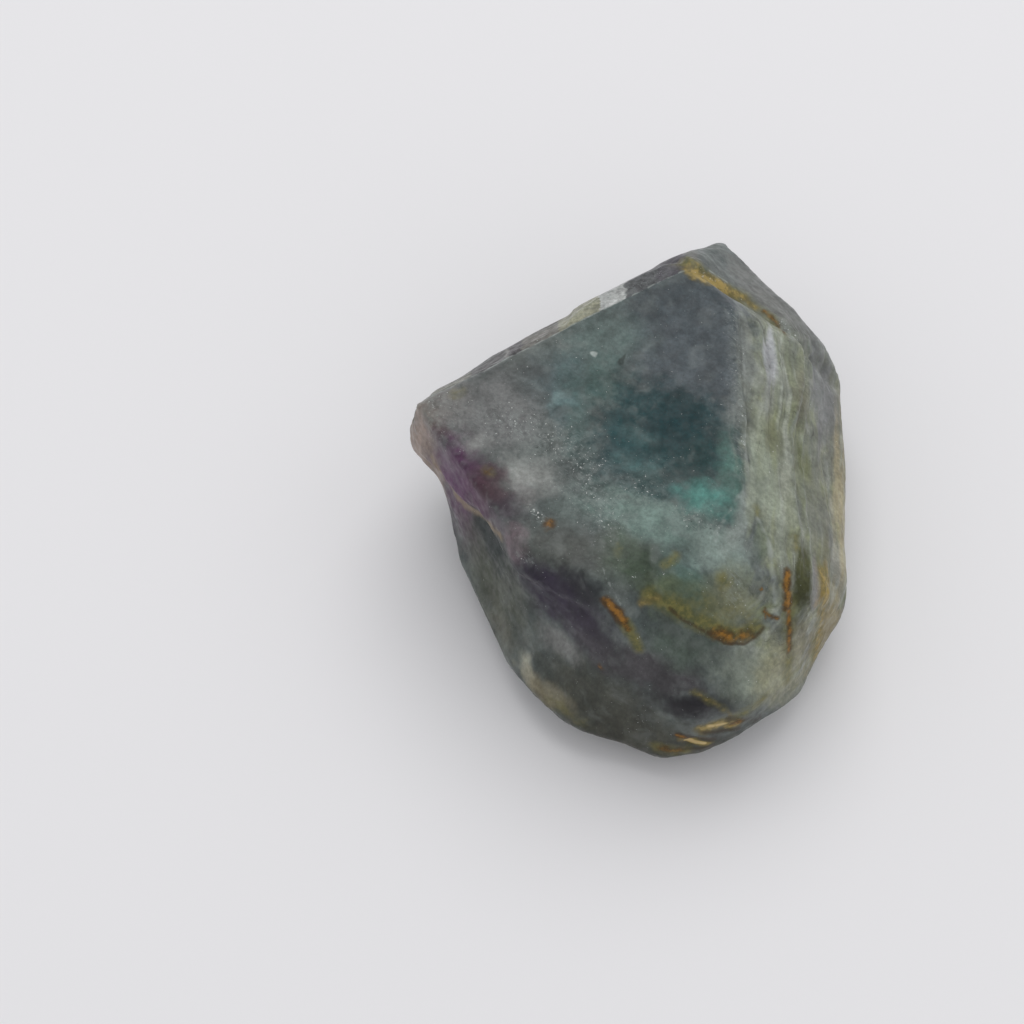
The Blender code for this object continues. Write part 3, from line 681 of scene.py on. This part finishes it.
# How much of a zone is at a place. The ball is 1 in its middle, and ends at ballSize times the zone's reach,
# far outside the zone, so that unrest can move the zone's edge either way.
def zoneMask(tree, place, unrest, spot):
    reach = [size * finish["ballSize"] for size in spot["reach"]]
    local = addNode(tree, "ShaderNodeMapping", {"Vector": place, "Location": spot["at"],
                    "Rotation": (0, 0, radians(spot["turn"])), "Scale": reach}, vector_type="TEXTURE")
    ball = addNode(tree, "ShaderNodeTexGradient", {"Vector": local.outputs[0]}, gradient_type="SPHERICAL")
    edges = [1 - (1 + spot["soft"] * spread) / finish["ballSize"] for spread in (0.45, -0.75)]
    return ramp(tree, less(tree, ball.outputs["Fac"], unrest), *edges, 0.0, spot["cover"])


def blend(tree, amount, first, second, mode="MIX"):
    node = addNode(tree, "ShaderNodeMix", {0: amount, 6: first, 7: second}, data_type="RGBA", blend_type=mode)
    return node.outputs[2]


def rgb(name):
    return (*finish[name], 1.0)


# lays one of the finish's colours over what is there
def paint(tree, amount, colour, name):
    return blend(tree, amount, colour, rgb(name))


# darkens where the shade is under 1 and lightens where it is over 1
def shaded(tree, colour, shade):
    tone = addNode(tree, "ShaderNodeCombineColor", {"Red": shade, "Green": shade, "Blue": shade}).outputs[0]
    return blend(tree, 1.0, colour, tone, "MULTIPLY")


# a wandering vector of about half a unit either way, for bending what is read from a place
def drift(tree, place, scale, detail, reach):
    reading = noise(tree, place, scale, detail, colour=True)
    parts = addNode(tree, "ShaderNodeSeparateColor", {0: reading}).outputs
    way = addNode(tree, "ShaderNodeCombineXYZ", {0: parts[0], 1: parts[1], 2: parts[2]}).outputs[0]
    return scaleVector(tree, vectorCalc(tree, "SUBTRACT", way, (0.5, 0.5, 0.5)), reach)


# noise drawn out one way: its lengths along X, Y and Z in mm, and the turn of those axes in degrees. The
# seed is how far along each axis the noise is read
def drawnNoise(tree, place, lengths, detail, seed, turn=(0, 0, 0)):
    local = addNode(tree, "ShaderNodeMapping", {"Vector": place, "Location": (seed, seed, seed),
                    "Rotation": [radians(angle) for angle in turn], "Scale": lengths}, vector_type="TEXTURE")
    return noise(tree, local.outputs[0], 1.0, detail)


# along the inner streaks
def streaks(tree, place, along, across, detail=2.0, seed=0):
    return drawnNoise(tree, place, (along, across, across), detail, seed, finish["grain"])


# along Y, the way that the right fracture runs
def bands(tree, place, along, across, seed, detail=2.0):
    return drawnNoise(tree, place, (across, along, across), detail, seed)


def readField(tree, name):
    return addNode(tree, "ShaderNodeAttribute", attribute_name=name).outputs["Fac"]


def zoneColour(tree, place):
    broad = drift(tree, place, 0.16, 1, 1.5)
    curls = drift(tree, place, 0.5, 1, 2.0)
    wandering = vectorCalc(tree, "ADD", place, vectorCalc(tree, "ADD", broad, curls))
    # the edges of the zones break up into wisps along the streaks
    drawn = vectorCalc(tree, "MULTIPLY", place, finish["drawnDown"])
    unrest = total(tree, less(tree, streaks(tree, drawn, 2.2, 1.1), 0.5), swing(tree, drawn, 1.3, 3))
    unrest = product(tree, unrest, 0.55 / finish["ballSize"])
    colour = blend(tree, ramp(tree, noise(tree, wandering, 0.22, 2), 0.35, 0.65), rgb("darkMineral"),
                   rgb("paleMineral"))
    height = vectorCalc(tree, "DOT_PRODUCT", place, finish["rimPlane"])
    under = ramp(tree, total(tree, height, unrest), *finish["rimHeight"])
    for spot in zones.values():
        mask = zoneMask(tree, wandering, unrest, spot)
        if spot["under"]:
            mask = product(tree, mask, under)
        colour = blend(tree, mask, colour, (*spot["colour"], 1.0))
    return colour, wandering


def stripColour(tree, place, x, y, colour):
    unrest = swing(tree, place, 1.2, 3)
    beyond = less(tree, y, product(tree, x, strip["slope"]))
    beyond = total(tree, less(tree, beyond, strip["start"]), product(tree, unrest, 0.25))
    below = total(tree, vectorCalc(tree, "DOT_PRODUCT", place, strip["face"]), product(tree, unrest, 4.0))
    reach = product(tree, ramp(tree, x, *strip["ends"]), ramp(tree, below, *strip["fade"]))
    along = total(tree, x, product(tree, unrest, 1.2))
    bars = None
    for start, tone in stripBars.values():
        if bars is None:
            bars = (*tone, 1.0)
            continue
        begun = ramp(tree, along, start - strip["barEdge"], start + strip["barEdge"])
        bars = blend(tree, begun, bars, (*tone, 1.0))
    bars = shaded(tree, bars, ramp(tree, noise(tree, place, 2.4, 3), 0.3, 0.7, *strip["barMottle"]))
    colour = blend(tree, product(tree, ramp(tree, beyond, -0.08, 0.08), reach), colour, bars)
    # a thin bright line where the two faces meet
    line = ramp(tree, calc(tree, "ABSOLUTE", beyond), *strip["edgeLine"], 0.0, strip["edgeCover"])
    line = product(tree, line, reach, ramp(tree, noise(tree, place, 1.4, 3), 0.42, 0.56))
    return paint(tree, line, colour, "milk")


def bandColour(tree, place, x, y, colour):
    area = product(tree, ramp(tree, x, *finish["bandsLeft"]), ramp(tree, y, *finish["bandsFront"]),
                   ramp(tree, y, *finish["bandsBack"]))
    swayed = vectorCalc(tree, "ADD", place, drift(tree, place, 0.14, 2, 3.4))
    for name, look in fractureBands.items():
        band = ramp(tree, bands(tree, swayed, *look["size"], look["seed"]), *look["edge"], 0.0, look["cover"])
        if name == "bandGreen":              # the green ones fade towards the back
            band = product(tree, band, ramp(tree, y, *finish["greenFade"]))
        colour = paint(tree, product(tree, band, area), colour, name)
    # fine threads, and the dark cracks between the plates
    threads = ramp(tree, bands(tree, swayed, 6.0, 0.32, 5), 0.35, 0.65, *finish["threads"])
    threads = total(tree, product(tree, less(tree, threads, 1.0), area), 1.0)
    colour = shaded(tree, colour, threads)
    crack = calc(tree, "ABSOLUTE", less(tree, bands(tree, swayed, 9.0, 1.8, 71), 0.5))
    crack = product(tree, ramp(tree, crack, 0.014, 0.004, 0.0, finish["crackCover"]), area,
                    ramp(tree, noise(tree, place, 0.5, 1), 0.50, 0.60))
    colour = paint(tree, crack, colour, "crackDark")
    unrest = less(tree, bands(tree, swayed, 6.0, 1.0, 11, 3), 0.5)
    unrest = product(tree, unrest, 2.2 / finish["ballSize"])
    for spot in fractureZones.values():
        colour = blend(tree, zoneMask(tree, place, unrest, spot), colour, (*spot["colour"], 1.0))
    return colour


def cloudColour(tree, place, wandering, breakField, colour):
    place = vectorCalc(tree, "MULTIPLY", place, finish["drawnDown"])
    clouds = noise(tree, vectorCalc(tree, "ADD", place, drift(tree, place, 0.3, 1, 2.4)), 0.5, 3)
    colour = shaded(tree, colour, ramp(tree, clouds, 0.30, 0.70, *finish["clouds"]))
    fine = streaks(tree, place, 1.5, 0.42, 3, 7)
    colour = shaded(tree, colour, ramp(tree, fine, 0.30, 0.70, *finish["innerStreaks"]))
    sugar = noise(tree, place, 3.2, 4, 0.7)
    colour = shaded(tree, colour, ramp(tree, sugar, 0.30, 0.70, *finish["sugar"]))
    # whitish veils, thickest along the bands of breaks, with scratches in them
    veil = ramp(tree, noise(tree, wandering, 0.42, 3), 0.53, 0.72, 0.0, finish["veil"])
    crumbs = ramp(tree, noise(tree, place, 1.6, 3), 0.42, 0.62)
    crumbs = product(tree, breakField, crumbs, finish["crumbVeil"])
    colour = paint(tree, total(tree, veil, crumbs), colour, "milk")
    scratch = ramp(tree, streaks(tree, place, 1.3, 0.13, 1, 41), 0.63, 0.70)
    return paint(tree, product(tree, scratch, product(tree, breakField, finish["scratches"])), colour,
                 "milk")


# one coat, with its edge broken up by noise
def coat(tree, place, colour, name, field, tone):
    size, strength = coats[name]["tear"]
    rough = product(tree, swing(tree, place, size, 3), strength)
    body = ramp(tree, total(tree, field, rough), *coats[name]["edge"])
    body = product(tree, body, ramp(tree, field, 0.02, 0.30))
    return blend(tree, product(tree, body, coats[name]["cover"]), colour, tone)


# a tone that is dull where a mark thins out and bright where it lies thickest
def mineral(tree, name, field, unrest, low, high):
    thick = ramp(tree, total(tree, field, unrest), low, high)
    return paint(tree, thick, rgb(name + "Deep"), name + "Bright")


def rustAndShadowLineColour(tree, place, colour):
    patchy = product(tree, swing(tree, place, 0.9, 4, 0.6), 0.9)
    mottle = swing(tree, place, 1.7, 4, 0.6)
    fields = {name: readField(tree, name) for name in coats}
    tones = {
        "stain": paint(tree, ramp(tree, mottle, -0.14, 0.14), rgb("stainOlive"), "stainYellow"),
        "ochre": mineral(tree, "ochre", fields["ochre"], product(tree, mottle, 3.2), 0.25, 1.25),
        # the dark lines are painted shadow
        "dark": rgb("paintedShadowBrown"),
        "rust": mineral(tree, "rust", fields["rust"], product(tree, mottle, 3.0), 0.45, 1.45),
        "rim": rgb("rimTan"),
        "pale": rgb("threadPale"),
    }
    for name, tone in tones.items():
        colour = coat(tree, place, colour, name, fields[name], tone)
    bare = total(tree, readField(tree, "cream"), product(tree, patchy, 0.4))
    bareTone = paint(tree, ramp(tree, bare, 0.45, 0.85), rgb("ochreBright"), "cream")
    return blend(tree, ramp(tree, bare, 0.34, 0.62), colour, bareTone)


# specks stand where a fine noise and what lifts it are highest
def specks(tree, place, lift, colour, kind):
    look = speckKinds[kind]
    spots = total(tree, noise(tree, place, look["fineness"], 2, 0.6), lift)
    return paint(tree, ramp(tree, spots, *look["edge"], 0.0, look["cover"]), colour, look["tone"])


def speckColour(tree, place, breakField, colour):
    crowd = ramp(tree, noise(tree, place, 0.45, 2), 0.50, 0.72)
    lift = total(tree, product(tree, breakField, 0.075), product(tree, crowd, 0.04))
    colour = specks(tree, place, lift, colour, "fine")
    # the others read the noise a few mm aside, so that they don't lie on the fine ones
    aside = vectorCalc(tree, "ADD", place, (9, 4, 2))
    colour = specks(tree, aside, lift, colour, "coarse")
    aside = vectorCalc(tree, "ADD", place, (2, 7, 5))
    return specks(tree, aside, product(tree, lift, 0.5), colour, "dark")


def fluorite():
    material = bpy.data.materials.new("fluorite")
    material.use_nodes = True
    tree = material.node_tree
    shader = tree.nodes["Principled BSDF"]
    place = scaleVector(tree, tree.nodes.new("ShaderNodeTexCoord").outputs["Object"], 1 / mm)
    x, y = addNode(tree, "ShaderNodeSeparateXYZ", {0: place}).outputs[:2]
    breakField = readField(tree, "breaks")

    colour, wandering = zoneColour(tree, place)
    colour = bandColour(tree, place, x, y, colour)
    colour = stripColour(tree, place, x, y, colour)
    colour = cloudColour(tree, place, wandering, breakField, colour)
    # crowns: frost and painted highlight; hollows: painted shade and a little dirt
    swell = readField(tree, "swell")
    colour = paint(tree, ramp(tree, swell, 0.015, 0.10, 0.0, finish["frostAndHighlight"]), colour, "milk")
    colour = paint(tree, ramp(tree, swell, -0.015, -0.10, 0.0, finish["dirtAndShadeCover"]), colour, "dirtAndShade")
    colour = rustAndShadowLineColour(tree, place, colour)
    colour = speckColour(tree, place, breakField, colour)
    tree.links.new(colour, shader.inputs["Base Color"])

    roughness = ramp(tree, noise(tree, place, 1.3, 4), 0.3, 0.7, *finish["roughness"])
    tree.links.new(roughness, shader.inputs["Roughness"])
    shader.inputs["IOR"].default_value = finish["refraction"]
    shader.inputs["Specular IOR Level"].default_value = finish["gloss"]
    shader.inputs["Subsurface Weight"].default_value = finish["glow"]
    shader.inputs["Subsurface Radius"].default_value = finish["glowReach"]
    shader.inputs["Subsurface Scale"].default_value = finish["glowDepth"] * mm

    drawn = vectorCalc(tree, "MULTIPLY", place, finish["drawnDown"])
    pits = noise(tree, drawn, finish["bumpSize"], 3)
    bump = addNode(tree, "ShaderNodeBump", {"Height": pits, "Strength": finish["bumpStrength"],
                   "Distance": finish["bumpHeight"] * mm})
    tree.links.new(bump.outputs[0], shader.inputs["Normal"])
    print("fluorite:", len(tree.nodes), "nodes")
    return material


def pointValues(items, name):
    values = np.empty(len(items) * 3, np.float32)
    items.foreach_get(name, values)
    return values.reshape(-1, 3).astype(float)


# How near each point of the skin is to a set of marks: full on a mark, and 0 at markReach widths from it.
# A mark may lie a little above or below the skin, so a short way along the normal doesn't count.
def traceMarks(mesh, name, traces):
    points = pointValues(mesh.vertices, "co") / mm
    normals = pointValues(mesh.vertex_normals, "vector")
    field = np.zeros(len(points))
    for trace in traces.values():
        line = np.array(trace["line"], float)
        for start, end in zip(line[:-1], line[1:]):
            along = end - start
            share = np.clip((points - start) @ along / (along @ along), 0, 1)
            away = points - start - share[:, None] * along
            depth = np.clip((away * normals).sum(axis=1), -finish["markDepth"], finish["markDepth"])
            away = np.linalg.norm(away - depth[:, None] * normals, axis=1)
            nearness = np.clip(1 - away / trace["width"] / finish["markReach"], 0, 1)
            field = np.maximum(field, trace["strength"] * nearness)
    layer = mesh.attributes.new(name, "FLOAT", "POINT")
    layer.data.foreach_set("value", field.astype(np.float32))


# makes the modifiers' result the piece's own plain mesh
def settle(piece):
    shaped = piece.evaluated_get(bpy.context.evaluated_depsgraph_get())
    mesh = bpy.data.meshes.new_from_object(shaped)
    piece.modifiers.clear()
    piece.data = mesh


def growCrystal():
    source = bpy.data.objects[crystalNode]
    piece = bpy.data.objects.new("crystal", source.data.copy())
    piece.data.materials.clear()
    bpy.context.collection.objects.link(piece)
    form = bmesh.new()
    form.from_mesh(piece.data)
    bmesh.ops.remove_doubles(form, verts=form.verts, dist=crystal["merge"] * mm)
    form.to_mesh(piece.data)
    form.free()

    skin = piece.modifiers.new("skin", "REMESH")
    skin.mode = "VOXEL"
    skin.voxel_size = crystal["skinSpacing"] * mm
    wear = piece.modifiers.new("wear", "SMOOTH")
    wear.factor = crystal["smoothFactor"]
    wear.iterations = crystal["smoothPasses"]
    relief = piece.modifiers.new("relief", "NODES")
    relief.node_group = reliefTree()
    values = {**crystal, "Box Low": cadBox[0], "Box High": cadBox[1], "Material": fluorite()}
    for socket in relief.node_group.interface.items_tree:
        if socket.in_out == "INPUT" and socket.name in values:
            relief[socket.identifier] = values[socket.name]
    settle(piece)
    triangles = len(piece.data.polygons) * 2
    print("crystal skin:", triangles, "triangles")
    if triangles > crystal["mostTriangles"]:
        thin = piece.modifiers.new("thin", "DECIMATE")
        thin.ratio = crystal["mostTriangles"] / triangles
        settle(piece)
    for name, traces in marks.items():
        traceMarks(piece.data, name, traces)
    print("marks traced:", ", ".join(marks))
    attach(piece, "root")
    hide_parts(crystalNode)
    print("crystal:", len(piece.data.polygons), "faces,", len(piece.data.vertices), "points")


setTheStage()
growCrystal()
